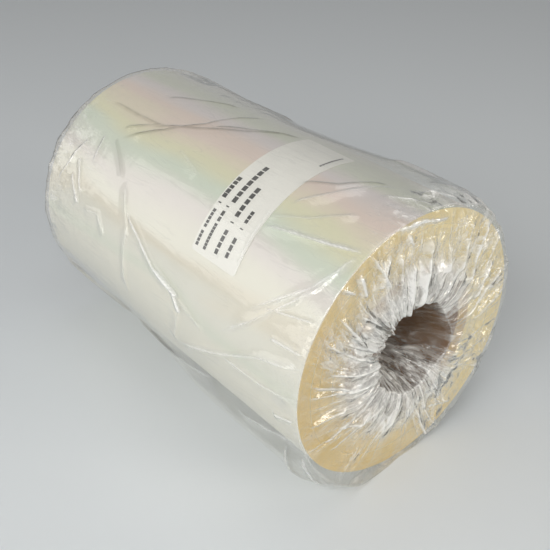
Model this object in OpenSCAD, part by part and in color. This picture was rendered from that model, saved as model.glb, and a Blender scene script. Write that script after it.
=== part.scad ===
// Roll of lidding film on a card core, with its paper label, packed in a clear wrap.
// The roll lies along X, its labelled end towards +X, and rests on a flat that its
// weight presses in the soft wrap. The origin is under the middle of the roll.

/* [Film] */
// Width of the film, which is the length of the roll
film_w = 250; // [200:5:350]
// Outside diameter of the wound film
film_od = 157; // [140:1:190]
// Width of one band of turns on the end faces
turn_band = 2.7; // [2:0.1:5]
// How far one band of turns stands back from the next
turn_relief = 0.4; // [0.2:0.05:0.8]
// Height of the step where the outermost turn ends
tail_step = 0.3; // [0.1:0.05:0.5]
// Where the outermost turn ends, in degrees up from level at the back
tail_turn = -5; // [-12:1:4]

/* [Core] */
// Inside diameter of the card core
core_id = 76.2; // [70:0.1:84]
// Wall of the card core
core_wall = 8; // [6:0.5:11]
// How far the core stands out of the film at each end
core_proud = 1.5; // [0.5:0.25:3]
// Chamfer at the edges of the core
core_edge = 0.8; // [0.3:0.1:1.5]

/* [Label] */
// Length of the label round the roll
label_len = 102; // [70:1:110]
// Width of the label along the roll
label_w = 37.5; // [25:0.5:50]
// Thickness of the label
label_t = 0.2; // [0.1:0.05:0.25]
// Radius of the label's corners
label_corner = 2; // [0.5:0.5:5]
// Distance from the end of the film to the middle of the label
label_inset = 83; // [60:1:110]
// How far the middle of the label sits from the top, towards the front, in degrees
label_turn = 22; // [15:1:30]
// How crooked the label was put on, in degrees
label_skew = 2.8; // [0:0.1:5]

/* [Wrap] */
// Thickness of the wrap
wrap_t = 0.4; // [0.3:0.05:0.6]
// Clearance between the film and the wrap where the wrap is pressed on it
wrap_gap = 0.25; // [0.2:0.05:0.4]
// How loosely the wrap lies round the roll
wrap_slack = 0.9; // [0.6:0.1:1.5]
// How far the slack hangs off the roll low at the front, before the ground stops it
sag_front = 15.5; // [10:0.5:18]
// How far the slack hangs off the roll low at the back, before the ground stops it
sag_back = 6.5; // [3:0.5:9]
// How far the wrap is tented off the roll high at the back
tent_h = 5.8; // [2:0.2:8]
// Height of the long folds in the wrap
fold_h = 1.6; // [0.8:0.1:2.4]
// Height of the pleats where the wrap turns over the rims
pleat_h = 1.3; // [0.5:0.1:2]

/* [Gathers and tucks] */
// How many gathers run from each rim into the core
gather_count = 22; // [18:1:24]
// Height of the gathers where they are widest
gather_h = 3; // [1.5:0.1:4]
// How far the gathers swirl between the rim and the core, in degrees
gather_swirl = 24; // [0:1:35]
// How far the gathered ends are tucked into the core
tuck_depth = 60; // [45:1:80]
// How far the gathers narrow the mouth of the core
mouth_inset = 4; // [3:0.5:6]
// How far the bunched end droops below the middle of the core
bunch_drop = 13; // [8:1:16]
// Radius of the bunched end
bunch_r = 6; // [4:0.5:8]

/* [Hidden] */
half_w = film_w / 2;
film_r = film_od / 2;
bore_r = core_id / 2;
core_r = bore_r + core_wall;
plain_r = film_r - tail_step;
press_r = film_r + wrap_gap;
axis_h = press_r + wrap_t;
over = 1;
round_fn = 96;
body_rings = 10;
// How far along each gather its points stand, and how high each is
gather_steps = [[0, 0], [0.3, 0.6], [0.5, 1], [0.8, 0.35]];
film_col = [0.93, 0.90, 0.76];
card_col = [0.55, 0.44, 0.34];
paper_col = [0.95, 0.94, 0.91];
wrap_col = [0.90, 0.93, 0.94, 0.35];

// Lays a shape that was made round Z along the roll's own line
module along_roll() {
    translate([0, 0, axis_h]) rotate([0, 90, 0]) children();
}

// Card core: a plain tube with chamfered ends
module core() {
    end = half_w + core_proud;
    color(card_col) along_roll() rotate_extrude($fn = round_fn)
        polygon([
            [bore_r, -end + core_edge],
            [bore_r + core_edge, -end],
            [core_r - core_edge, -end],
            [core_r, -end + core_edge],
            [core_r, end - core_edge],
            [core_r - core_edge, end],
            [bore_r + core_edge, end],
            [bore_r, end - core_edge]
        ]);
}

// How far a band of turns stands back from the end of the roll
function band_depth(i) = turn_relief * (0.5 + 0.5 * sin(137 * i + 25));

// The outline of what is cut from one end face to leave the bands of turns
module band_cut() {
    bands = floor((film_r - core_r) / turn_band);
    step = (film_r - core_r) / bands;
    rotate_extrude($fn = round_fn) polygon([
        for (i = [0 : bands - 1]) each [
            [core_r + i * step - (i == 0 ? over : 0), half_w - band_depth(i)],
            [core_r + (i + 1) * step + (i == bands - 1 ? over : 0), half_w - band_depth(i)]
        ],
        [film_r + over, half_w + over],
        [core_r - over, half_w + over]
    ]);
}

// One half of the wound film, on the side that is given
module half_turn(r, side) {
    intersection() {
        cylinder(r = r, h = film_w, center = true, $fn = round_fn * 2);
        translate([0, side * film_od / 2, 0])
            cube([film_od * 2, film_od, film_w + over], center = true);
    }
}

// Wound film: the lower half turn is a little larger, which leaves the step where the last turn ends
module film_roll() {
    color(film_col) along_roll() difference() {
        rotate([0, 0, tail_turn + 90]) {
            half_turn(plain_r, 1);
            translate([tail_step / 2, 0, 0]) half_turn(plain_r + tail_step / 2, -1);
        }
        cylinder(r = core_r, h = film_w + over * 2, center = true, $fn = round_fn);
        band_cut();
        mirror([0, 0, 1]) band_cut();
    }
}

// A point on the roll: how far along it, how many degrees round it from level at the back, how far out
function on_roll(x, turn, r) = [x, r * cos(turn), axis_h + r * sin(turn)];

// Half the label's width at a place along its length, with its corners rounded
function label_half(u) =
    let (into = max(0, abs(u) - label_len / 2 + label_corner))
    label_w / 2 - label_corner + sqrt(max(0, pow(label_corner, 2) - pow(into, 2)));

// Paper label: a thin sheet bent round the film, set on a little crooked
module label() {
    seat_r = plain_r + 0.05;
    corner_steps = 4;
    flat_steps = 24;
    straight = label_len / 2 - label_corner;
    corner = [for (i = [0 : corner_steps]) label_corner * sin(90 * (i + 0.1) / (corner_steps + 0.1))];
    places = [
        for (i = [corner_steps : -1 : 0]) -straight - corner[i],
        for (i = [1 : flat_steps - 1]) -straight + 2 * straight * i / flat_steps,
        for (i = [0 : corner_steps]) straight + corner[i]
    ];
    last = len(places) - 1;
    points = [
        for (u = places)
            let (
                turn = 90 + label_turn + u / seat_r * 180 / PI,
                x = half_w - label_inset + u * tan(label_skew),
                half = label_half(u)
            )
            each [
                on_roll(x - half, turn, seat_r),
                on_roll(x + half, turn, seat_r),
                on_roll(x + half, turn, seat_r + label_t),
                on_roll(x - half, turn, seat_r + label_t)
            ]
    ];
    skin = [
        for (i = [0 : last - 1]) for (j = [0 : 3])
            let (a = 4 * i + j, b = 4 * i + (j + 1) % 4)
            each [[a, b + 4, b], [a, a + 4, b + 4]]
    ];
    ends = [[0, 1, 2, 3], [for (j = [3 : -1 : 0]) 4 * last + j]];
    color(paper_col) polyhedron(points, concat(skin, ends));
}

// A number from 0 to 1 that looks random and is the same every time
function chance(n) = let (v = 437.585 * sin(78.233 * n + 12.9)) v - floor(v);

// A smooth rise from 0 at a to 1 at b
function ease(a, b, v) = let (s = min(1, max(0, (v - a) / (b - a)))) s * s * (3 - 2 * s);

// A smooth hump, 1 in the middle and gone at half away from it
function hump(away, half) = away < half ? 0.5 + 0.5 * cos(180 * away / half) : 0;

// How many degrees lie between two directions round the roll
function apart(a, b) = abs((a - b + 900) % 360 - 180);

// Where a gather starts, in degrees round the roll: the gathers are unevenly wide
function gather_start(j) = 360 / gather_count * (j + 0.65 * chance(j % gather_count));

// The points round the wrap: the direction of each, how high its gather stands there, and how soon
// that gather dies away from the core towards the rim
wrap_turns = [
    for (j = [0 : gather_count - 1]) for (step = gather_steps)
        gather_start(j) + step[0] * (gather_start(j + 1) - gather_start(j))
];
wrap_crests = [
    for (j = [0 : gather_count - 1]) for (step = gather_steps) step[1] * (0.4 + 0.6 * chance(j + 50))
];
wrap_fades = [
    for (j = [0 : gather_count - 1]) for (step = gather_steps) 0.4 + 2 * chance(j + 90)
];

// How far from a long fold a point of the wrap lies, and how far along the fold it is
// A fold is given by its two ends, each as a share of half the roll's length and degrees round it
function fold_part(x, turn, fold) =
    let (
        arc = film_r * PI / 180,
        from = [fold[0] * half_w, fold[1] * arc],
        to = [fold[2] * half_w, fold[3] * arc],
        run = to - from,
        here = [x, turn * arc] - from,
        along = here * run / (run * run)
    )
    [norm(here - along * run), along];

// The long folds that the slack makes along the roll
long_folds = [
    [-0.6, 92, 0.25, 76, 0.7],
    [0.35, 112, 0.75, 92, 0.6],
    [-0.45, 152, 0.25, 170, 1],
    [0.35, 130, 1, 116, 1],
    [0.15, 194, 0.85, 168, 0.9],
    [-0.9, 118, -0.3, 110, 0.8],
    [-1, 172, -0.4, 186, 1],
    [-0.8, 40, 0.1, 28, 0.9],
    [0.1, 12, 0.9, 0, 1],
    [-0.5, 346, 0.4, 336, 0.8],
    [-1, 205, -0.2, 214, 0.8]
];

// How high the long folds stand at a point of the wrap
function folds_at(x, turn) = max([
    for (fold = long_folds)
        let (part = fold_part(x, turn % 360, fold))
        fold_h * fold[4] * hump(part[0], 9) * ease(0, 0.3, part[1]) * ease(1, 0.7, part[1])
]);

// How far the wrap stands off the roll: its slack hangs low and is tented high towards the near end
function slack_at(x, turn, crest) =
    let (
        rim = ease(0.8 * half_w, half_w, x),
        near = ease(-0.45 * half_w, 0.3 * half_w, x) * (1 - 0.5 * ease(0.84 * half_w, half_w, x)),
        high = ease(-0.15 * half_w, 0.7 * half_w, x) * (1 - 0.45 * ease(0.84 * half_w, half_w, x)),
        low_front = sag_front * hump(apart(turn, 247 - 9 * rim), 68 - 20 * rim),
        low_back = sag_back * (1 - 0.8 * rim) * hump(apart(turn, 294), 44),
        tent = tent_h * hump(apart(turn, 56), 27),
        soft = wrap_slack * (0.5 + 0.5 * sin(3 * turn + 2.2 * x) * sin(2 * turn - 1.3 * x)),
        rim_pleats = pleat_h * crest * (ease(0.75 * half_w, half_w, x) + ease(-0.45 * half_w, -half_w, x))
    )
    near * (low_front + low_back) + high * tent + soft + rim_pleats + folds_at(x, turn);

// The rings of points over one end, from the bunched end in the core out to the rim
// Each is [how far past the film's end, radius, way it faces, share of gathers, of slack, of droop, of swirl]
// It faces out from the roll's axis at 0 degrees, along it at 90 and towards it at 180
end_rings = [
    [-tuck_depth, bunch_r, 180, 0.3, 0, 1, 1.6],
    [-0.78 * tuck_depth, bunch_r + 6, 165, 0.5, 0, 0.95, 1.5],
    [-0.5 * tuck_depth, 0.6 * bore_r, 165, 0.9, 0, 0.6, 1.3],
    [-0.22 * tuck_depth, bore_r - mouth_inset - 2.5, 165, 1, 0, 0.15, 1.15],
    [core_proud - 0.2, bore_r - mouth_inset / 2, 135, 1, 0, 0, 1.05],
    [core_proud + wrap_gap + 0.3, bore_r + core_wall * 0.3, 95, 1, 0, 0, 1],
    [core_proud + wrap_gap, core_r + 0.6, 85, 0.9, 0, 0, 0.9],
    [wrap_gap + 0.4, core_r + (film_r - core_r) * 0.28, 90, 0.7, 0.1, 0, 0.65],
    [wrap_gap + 0.1, core_r + (film_r - core_r) * 0.56, 90, 0.45, 0.2, 0, 0.35],
    [wrap_gap + 0.1, core_r + (film_r - core_r) * 0.8, 88, 0.25, 0.3, 0, 0.12],
    [wrap_gap + 0.1, film_r - 2, 80, 0.1, 0.4, 0, 0],
    [wrap_gap + 0.1, press_r + 0.05, 45, 0, 0.8, 0, 0]
];

// A ring over one end, set at the near end for side 1 and at the far end for side -1
function end_ring(ring, side) = [
    side * (half_w + ring[0]),
    ring[1],
    side * ring[2],
    ring[3],
    ring[4],
    ring[5],
    side * gather_swirl * ring[6]
];

// The rings from the bunched end at the near side, over the roll, to the bunched end at the far side
wrap_rings = [
    for (ring = end_rings) end_ring(ring, 1),
    for (i = [0 : body_rings - 1])
        let (along = 0.5 - 0.5 * cos(180 * (i + 0.45) / (body_rings - 0.1)))
        [half_w * (1 - 2 * (0.35 * along + 0.65 * (i + 0.2) / (body_rings - 0.6))), press_r, 0, 0, 1, 0, 0],
    for (i = [len(end_rings) - 1 : -1 : 0]) end_ring(end_rings[i], -1)
];

// A point of the wrap, on its outer skin if the thickness is given and on its inner one if not
function wrap_point(ring, k, t) =
    let (
        turn = wrap_turns[k] + ring[6],
        slack = ring[4] == 0 ? 0 : ring[4] * slack_at(ring[0], turn, wrap_crests[k]),
        off = pow(ring[3], wrap_fades[k]) * gather_h * wrap_crests[k] + slack + t,
        r = ring[1] + off * cos(ring[2]),
        z = axis_h - bunch_drop * ring[5] + r * sin(turn)
    )
    [ring[0] + off * sin(ring[2]), r * cos(turn), max(wrap_t - t, z)];

// Joins rings of points into one closed solid: each ring closes on itself, and the last ring on the first
// The first half of the rings is one skin and the second half goes back as the other, so the second
// half splits its quads along the other diagonal, and the two skins stay parallel
function ring_faces(rings, sides) = [
    for (i = [0 : rings - 1]) for (j = [0 : sides - 1])
        let (
            a = i * sides + j,
            b = i * sides + (j + 1) % sides,
            c = (i + 1) % rings * sides + (j + 1) % sides,
            d = (i + 1) % rings * sides + j
        )
        each i < rings / 2 ? [[a, b, c], [a, c, d]] : [[a, b, d], [b, c, d]]
];

// Clear wrap: one sheet round the roll, gathered over both ends and tucked into the core
module wrap() {
    last = len(wrap_rings) - 1;
    sides = len(wrap_turns);
    points = [
        for (i = [0 : last]) for (k = [0 : sides - 1]) wrap_point(wrap_rings[i], k, wrap_t),
        for (i = [last : -1 : 0]) for (k = [0 : sides - 1]) wrap_point(wrap_rings[i], k, 0)
    ];
    color(wrap_col) polyhedron(points, ring_faces(2 * (last + 1), sides));
}

core();
film_roll();
label();
wrap();
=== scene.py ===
"""Looks of a wrapped roll of lidding film: pearly film, card core, paper label and clear crinkled wrap."""

import math

import bmesh
import bpy
import numpy as np
from bpy.props import FloatProperty, FloatVectorProperty, IntProperty, PointerProperty
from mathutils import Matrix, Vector
from mathutils.bvhtree import BVHTree


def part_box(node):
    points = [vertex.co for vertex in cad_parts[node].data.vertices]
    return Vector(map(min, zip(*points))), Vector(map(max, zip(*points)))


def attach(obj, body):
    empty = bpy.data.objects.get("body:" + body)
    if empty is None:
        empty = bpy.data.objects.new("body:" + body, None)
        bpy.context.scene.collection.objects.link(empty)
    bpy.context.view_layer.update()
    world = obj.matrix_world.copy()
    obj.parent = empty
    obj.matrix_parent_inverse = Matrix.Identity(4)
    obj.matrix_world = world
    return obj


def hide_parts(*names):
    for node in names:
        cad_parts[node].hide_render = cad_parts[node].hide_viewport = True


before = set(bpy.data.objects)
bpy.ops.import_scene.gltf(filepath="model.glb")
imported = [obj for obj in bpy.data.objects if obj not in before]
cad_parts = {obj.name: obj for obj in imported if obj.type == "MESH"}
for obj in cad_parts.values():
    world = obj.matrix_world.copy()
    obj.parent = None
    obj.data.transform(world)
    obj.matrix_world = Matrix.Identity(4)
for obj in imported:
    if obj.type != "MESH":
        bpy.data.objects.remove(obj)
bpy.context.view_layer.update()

bl_info = {
    "name": "Wrapped Film Roll",
    "version": (1, 0, 0),
    "blender": (4, 5, 0),
    "location": "View3D > Sidebar > Film Roll",
    "description": "Dresses a packed roll of lidding film: film, core, label and clear wrap",
    "category": "Object",
}

MM = 0.001
FILM_LOW, FILM_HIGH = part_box("film_roll")
CORE_LOW, CORE_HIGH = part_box("core")
HALF_W = FILM_HIGH.x / MM
AXIS_H = (CORE_LOW.z + CORE_HIGH.z) / 2 / MM
CORE_R = (CORE_HIGH.z - CORE_LOW.z) / 2 / MM
CORE_END = CORE_HIGH.x / MM

# Materials: the least share of an end face's normal along the roll, how far the sheen's bands wander in degrees,
# streaks of turns per metre, the width of the core's plies in metres, and the wrap's index of refraction
END_FACING = 0.7
SHEEN_WANDER = 40.0
TURN_STREAKS = 1400.0
PLY_WIDTH = 0.095
SHEET_IOR = 1.5
# The facets that the wrap's material draws: how many to a metre, how far they lean, and how pale they get: a few
# are painted pale as painted glints
WRAP_FACETS = ((115.0, 0.38, 0.34), (230.0, 0.42, 0.34), (470.0, 0.3, 0.24))

# The wrap's rings: in the near tuck, over the near end, along the body, and over the far end and its tuck
RINGS = (24, 125, 298, 84)
# The wrap's facets: how many along and round, how far their corners wander, and if they lean with the gathers
FACETS = (
    ((30, 26), 0.34, False), ((104, 84), 0.34, False), ((30, 66), 0.34, True), ((170, 190), 0.4, False),
    ((48, 124), 0.42, True),
)
# Degrees that the gathers of the near end lean for each mm along the sheet
PLEAT_LEAN = 0.45
# Where forms of the wrap lie, in degrees round the roll: in the mouth the heap, the bare wall and the low lip,
# on the body the tent, the taut part low in front, the smooth part of the near rim and the far crumpled patch
HEAP_TURN, WALL_TURN, LOW_LIP_TURN = 276, 352, 338
TENT_TURN, TAUT_TURN, SMOOTH_RIM_TURN, FAR_PATCH_TURN = 60, 222, 115, 152
# How far the lowest points of the wrap stay above the ground, in mm
FLOOR_GAP = 0.12


def linear(hex_colour, alpha=1.0):
    """An sRGB hex colour as linear values, with alpha."""
    parts = [int(hex_colour[i:i + 2], 16) / 255 for i in (1, 3, 5)]
    return tuple(c / 12.92 if c <= 0.04045 else ((c + 0.055) / 1.055) ** 2.4 for c in parts) + (alpha,)


def size_value(name, description, default):
    """A size or an angle of the roll, as a property."""
    return FloatProperty(name=name, description=description, default=default)


def colour_value(name, hex_colour, description):
    """A colour of the roll, as a property."""
    return FloatVectorProperty(
        name=name, description=description, subtype="COLOR", size=4, min=0, max=1, default=linear(hex_colour)
    )


class RollSizes(bpy.types.PropertyGroup):
    """Sizes of the film, core and label, in millimetres and degrees."""

    film_radius: size_value("Film radius", "Outside radius of the wound film", 78.5)
    bore_radius: size_value("Bore radius", "Inside radius of the card core", 38.1)
    label_radius: size_value("Label radius", "Radius of the label's face", 78.46)
    label_inset: size_value("Label inset", "From the film's end to the label's middle", 83.0)
    label_turn: size_value("Label turn", "Degrees from the top to the label's middle", 22.0)
    label_skew: size_value("Label skew", "How crooked the label is, in degrees", 2.8)


class WrapSizes(bpy.types.PropertyGroup):
    """Sizes of the clear wrap, in millimetres and degrees."""

    gap: size_value("Gap", "From the film to the wrap where it is pressed on", 0.45)
    slack: size_value("Slack", "How loosely the wrap lies round the roll", 0.7)
    sag_front: size_value("Front sag", "Slack that hangs low at the front", 15.0)
    sag_back: size_value("Back sag", "Slack that hangs low at the back", 6.0)
    tent: size_value("Tent", "How far the wrap is tented off high at the back", 5.4)
    fold: size_value("Folds", "Height of the long folds", 2.0)
    pleat: size_value("Pleats", "Height of the pleats over the rims", 1.3)
    crumple: size_value("Crumple", "Height of the small crumpled facets", 1.5)
    gather: size_value("Gathers", "Height of the large gathers at the core", 1.3)
    fine: size_value("Fine pleats", "Height of the fine pleats at the core", 1.5)
    swirl: size_value("Swirl", "How far the gathers swirl, in degrees", 9.0)
    tuck: size_value("Tuck", "How far the ends are tucked into the core", 60.0)
    inset: size_value("Mouth inset", "How far the gathers narrow the core's mouth", 4.0)
    lip: size_value("Lip", "How far the near lip stands in over the bore", 8.0)
    droop: size_value("Droop", "How far the bunched end droops", 13.0)
    bunch: size_value("Bunch", "Radius of the bunched end", 6.0)
    gathers: IntProperty(name="Gather count", description="Large gathers round each end", default=22)
    pleats: IntProperty(name="Pleat count", description="Fine pleats round each end", default=96)
    sides: IntProperty(name="Sides", description="Points round the wrap", default=640)
    seed: IntProperty(name="Seed", description="Seed of the pleats and the crumpled facets", default=7)


class RollColours(bpy.types.PropertyGroup):
    """Colours of the roll, as the photograph shows them."""

    pearl: colour_value("Pearl", "#DEDDD2", "Main colour of the film round the roll")
    cream: colour_value("Cream", "#E6E3D4", "Creamier film low on the roll")
    # sage, lilac, blush, peach, straw and mint are painted sheen: the film's iridescent sheen, painted into its
    # colour in bands round the roll
    sage: colour_value("Sage", "#D3D6C4", "Grey-green film over the top of the roll")
    lilac: colour_value("Lilac", "#DDD4D2", "Violet sheen of the film")
    blush: colour_value("Blush", "#E1CEC2", "Pink sheen of the film")
    peach: colour_value("Peach", "#E1D5BE", "Orange sheen of the film")
    straw: colour_value("Straw", "#DDDAB8", "Yellow sheen of the film")
    mint: colour_value("Mint", "#CDD7C5", "Green sheen of the film")
    end_film: colour_value("Film ends", "#F7E9B4", "The film's edges at the ends of the roll")
    # this colour is the deeper yellow near the rim, and also painted shade on the front and low side of the ends
    end_deep_and_shade: colour_value("Deep film ends", "#DFC074", "The deeper yellow near the rim")
    card: colour_value("Card", "#9A6C38", "Brown card of the core")
    card_edge: colour_value("Card edge", "#CBAF7C", "The paler cut edge of the card")
    card_dark: colour_value("Dark card", "#664826", "Darker fibres and seams of the card")
    paper: colour_value("Paper", "#F1EFE6", "Coated paper of the label")
    ink: colour_value("Ink", "#33322F", "Thermal print on the label")
    clear: colour_value("Clear wrap", "#F6F5F1", "The clear wrap's own tint")
    shadow: colour_value("Shadow line", "#6F6C5C", "Thin dark lines where a fold turns the light away")
    floor: colour_value("Floor", "#DCE0E2", "The pale floor")


def chance(n):
    """A number from 0 to 1 that looks random and is the same every time, as in the part's source."""
    v = 437.585 * np.sin(np.radians(78.233 * np.asarray(n, float) + 12.9))
    return v - np.floor(v)


def ease(a, b, v):
    """A smooth rise from 0 at a to 1 at b."""
    s = np.clip((v - a) / (b - a), 0, 1)
    return s * s * (3 - 2 * s)


def hump(away, half):
    """A smooth hump, 1 in the middle and gone at half away from it."""
    return np.where(np.abs(away) < half, 0.5 + 0.5 * np.cos(np.pi * away / half), 0.0)


def apart(a, b):
    """How many degrees lie between two directions round the roll."""
    return np.abs((a - b + 900) % 360 - 180)


def add_node(tree, kind, inputs=None, **settings):
    """Adds one shader node: settings by name, and inputs by name or number, as values or as links."""
    node = tree.nodes.new(kind)
    for key, value in settings.items():
        setattr(node, key, value)
    for key, value in (inputs or {}).items():
        if isinstance(value, bpy.types.NodeSocket):
            tree.links.new(value, node.inputs[key])
        else:
            node.inputs[key].default_value = value
    return node


def maths(tree, operation, a, b=0.0, c=0.0, clamp=False):
    """One maths node's value."""
    node = add_node(tree, "ShaderNodeMath", {0: a, 1: b, 2: c}, operation=operation, use_clamp=clamp)
    return node.outputs[0]


def plus(tree, a, b, clamp=False):
    return maths(tree, "ADD", a, b, clamp=clamp)


def minus(tree, a, b):
    return maths(tree, "SUBTRACT", a, b)


def times(tree, a, b, *more):
    product = maths(tree, "MULTIPLY", a, b)
    return times(tree, product, *more) if more else product


def remap(tree, value, low, high, to_low=0.0, to_high=1.0, kind="LINEAR"):
    """A value moved from one span to another, and held at the ends of it."""
    inputs = {"Value": value, "From Min": low, "From Max": high, "To Min": to_low, "To Max": to_high}
    return add_node(tree, "ShaderNodeMapRange", inputs, interpolation_type=kind).outputs[0]


def noise(tree, vector, scale, detail, roughness=0.5, distortion=0.0):
    """A noise texture over a vector: (value, colour)."""
    inputs = {"Vector": vector, "Scale": scale, "Detail": detail, "Roughness": roughness}
    return add_node(tree, "ShaderNodeTexNoise", {**inputs, "Distortion": distortion}).outputs


def blend(tree, share, first, second):
    """A colour between two others."""
    inputs = {"Factor": share, 6: first, 7: second}
    return add_node(tree, "ShaderNodeMix", inputs, data_type="RGBA").outputs[2]


def stretched(tree, vector, scale, rotation=(0.0, 0.0, 0.0)):
    """A vector that is scaled and turned before a texture is laid over it."""
    inputs = {"Vector": vector, "Rotation": rotation, "Scale": scale}
    return add_node(tree, "ShaderNodeMapping", inputs).outputs[0]


def vector_maths(tree, operation, a, b=None):
    """One vector maths node's vector."""
    inputs = {0: a} if b is None else {0: a, 1: b}
    return add_node(tree, "ShaderNodeVectorMath", inputs, operation=operation).outputs[0]


def bumped(tree, height, strength, distance, **more):
    """The shading normal over a height, with a distance in metres."""
    inputs = {"Strength": strength, "Distance": distance, "Height": height, **more}
    return add_node(tree, "ShaderNodeBump", inputs).outputs[0]


def ramp(tree, factor, stops):
    """A colour over a factor, with stops of (place, colour)."""
    node = add_node(tree, "ShaderNodeValToRGB", {0: factor})
    node.color_ramp.interpolation = "EASE"
    elements = node.color_ramp.elements
    while len(elements) < len(stops):
        elements.new(0.5)
    for element, (place, tone) in zip(elements, stops):
        element.position = place
        element.color = tone
    return node.outputs[0]


def new_material(name):
    """An empty node material and its tree."""
    material = bpy.data.materials.new(name)
    material.use_nodes = True
    material.node_tree.nodes.clear()
    return material, material.node_tree


def finished(material, **inputs):
    """The material, ended with one Principled shader; the inputs are named with _ for a space."""
    named = {key.replace("_", " "): value for key, value in inputs.items()}
    shader = add_node(material.node_tree, "ShaderNodeBsdfPrincipled", named)
    add_node(material.node_tree, "ShaderNodeOutputMaterial", {0: shader.outputs[0]})
    return material


def roll_places(tree):
    """Places on the roll: coordinates, x, y, height over its axis, and 1 on faces that look along it."""
    place = add_node(tree, "ShaderNodeTexCoord").outputs
    x, y, z = add_node(tree, "ShaderNodeSeparateXYZ", {0: place["Object"]}).outputs
    facing = add_node(tree, "ShaderNodeSeparateXYZ", {0: place["Normal"]}).outputs[0]
    is_end = maths(tree, "GREATER_THAN", maths(tree, "ABSOLUTE", facing), END_FACING)
    return place["Object"], x, y, minus(tree, z, AXIS_H * MM), is_end


def shade(obj, *materials):
    """Gives a piece its materials, in order."""
    obj.data.materials.clear()
    for material in materials:
        obj.data.materials.append(material)


def new_piece(bm, name, *materials, smooth=True):
    """A finished mesh piece at the origin, riding on the roll."""
    mesh = bpy.data.meshes.new(name)
    for face in bm.faces:
        face.smooth = smooth
    bm.to_mesh(mesh)
    bm.free()
    piece = bpy.data.objects.new(name, mesh)
    bpy.context.scene.collection.objects.link(piece)
    shade(piece, *materials)
    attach(piece, "root")
    return piece


def lidding_film_material(colours):
    """Lidding film wound tight: a pearly laminate with its iridescent sheen painted as soft colour bands round
    it, and turns at its ends, which carry painted shade on their front and low side.
    """
    material, tree = new_material("lidding_film_pearl_laminate")
    place, x, y, up, is_end = roll_places(tree)
    radius = maths(tree, "SQRT", plus(tree, times(tree, up, up), times(tree, y, y)))
    # painted sheen: the film's iridescent sheen is painted into its colour as bands along the roll, by degrees
    # round it: 90 is the top and 180 the front
    turn = plus(tree, maths(tree, "DEGREES", maths(tree, "ARCTAN2", times(tree, y, -1.0), up)), 90.0)
    drift = stretched(tree, place, (6.0, 20.0, 20.0), (0.0, 0.1, 0.12))
    wander = noise(tree, drift, 1.0, 2.0, 0.45, 0.5)[0]
    moved = plus(tree, turn, times(tree, minus(tree, wander, 0.5), SHEEN_WANDER))
    bands = ramp(tree, maths(tree, "DIVIDE", moved, 180.0), [
        (0.0, colours.pearl), (0.16, colours.mint), (0.28, colours.blush), (0.36, colours.pearl),
        (0.47, colours.sage), (0.525, colours.lilac), (0.57, colours.blush), (0.605, colours.peach),
        (0.645, colours.straw), (0.70, colours.mint), (0.76, colours.lilac), (0.82, colours.cream),
        (0.87, colours.peach), (0.91, colours.pearl), (0.955, colours.mint), (1.0, colours.cream),
    ])
    # low on the front the painted sheen bands fade into cream
    calm = remap(tree, turn, 118.0, 150.0, 0.12, 0.62, "SMOOTHSTEP")
    body = blend(tree, calm, bands, colours.cream)
    # the turns at the ends: bands of a few turns and streaks of single ones, drawn coarser than the real ones
    turns = add_node(
        tree, "ShaderNodeTexNoise", {"W": times(tree, radius, TURN_STREAKS), "Detail": 3.0, "Roughness": 0.7},
        noise_dimensions="1D"
    ).outputs[0]
    depth = remap(tree, radius, 0.05, 0.079, 0.15, 0.6, "SMOOTHSTEP")
    # painted shade: the ends are painted deeper yellow towards their front and low side, where less light falls
    # on them
    side = remap(tree, plus(tree, y, times(tree, up, 0.5)), 0.06, -0.08, 0.0, 0.62, "SMOOTHSTEP")
    streaks = times(tree, minus(tree, turns, 0.5), 1.1)
    deep_yellow_and_shade = plus(tree, streaks, plus(tree, times(tree, depth, 0.55), side), clamp=True)
    ends = blend(tree, deep_yellow_and_shade, colours.end_film, colours.end_deep_and_shade)
    rough = remap(tree, noise(tree, place, 14.0, 1.0)[0], 0.3, 0.7, 0.36, 0.46)
    return finished(
        material, Base_Color=blend(tree, is_end, body, ends), IOR=1.5, Coat_Weight=0.25, Coat_Roughness=0.25,
        Roughness=plus(tree, rough, times(tree, is_end, 0.2)),
        Normal=bumped(tree, times(tree, turns, is_end), 0.35, 0.0003)
    )


def core_card_material(colours):
    """Spiral-wound brown core board: fibres, and the helical seams of its plies in the bore."""
    material, tree = new_material("core_spiral_wound_card")
    place, x, y, up, is_cut = roll_places(tree)
    turn = maths(tree, "DIVIDE", maths(tree, "ARCTAN2", up, y), 2 * math.pi)
    # the seams of the plies climb by one ply's width in a turn
    climb = maths(tree, "FRACT", plus(tree, turn, maths(tree, "DIVIDE", x, PLY_WIDTH)))
    seam = remap(tree, maths(tree, "ABSOLUTE", minus(tree, climb, 0.5)), 0.0, 0.012, 1.0, 0.0)
    fibre = noise(tree, place, 700.0, 4.0, 0.7)[0]
    blotch = noise(tree, place, 60.0, 3.0)[0]
    darker = plus(tree, times(tree, blotch, 0.45), times(tree, seam, 0.5))
    mix = plus(tree, times(tree, fibre, 0.35), darker, clamp=True)
    board = blend(tree, is_cut, colours.card, colours.card_edge)
    # the cut edge shows less of the dark fibres
    share = times(tree, mix, minus(tree, 1.0, times(tree, is_cut, 0.6)))
    return finished(
        material, Base_Color=blend(tree, share, board, colours.card_dark), Roughness=0.82, IOR=1.45,
        Normal=bumped(tree, minus(tree, fibre, seam), 0.5, 0.0002)
    )


def label_paper_material(colours):
    """Coated thermal label paper: near white, slightly warm, with a faint fibre and a soft satin face."""
    material, tree = new_material("label_thermal_paper")
    place = add_node(tree, "ShaderNodeTexCoord").outputs["Object"]
    fibre = noise(tree, place, 900.0, 4.0)[0]
    cloud = noise(tree, place, 45.0, 2.0)[0]
    value = remap(tree, plus(tree, times(tree, fibre, 0.4), times(tree, cloud, 0.6)), 0.3, 0.7, 0.95, 1.02)
    tone = add_node(tree, "ShaderNodeHueSaturation", {"Value": value, "Color": colours.paper}).outputs[0]
    return finished(
        material, Base_Color=tone, Roughness=0.55, Normal=bumped(tree, fibre, 0.2, 0.0001), IOR=1.5
    )


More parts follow.
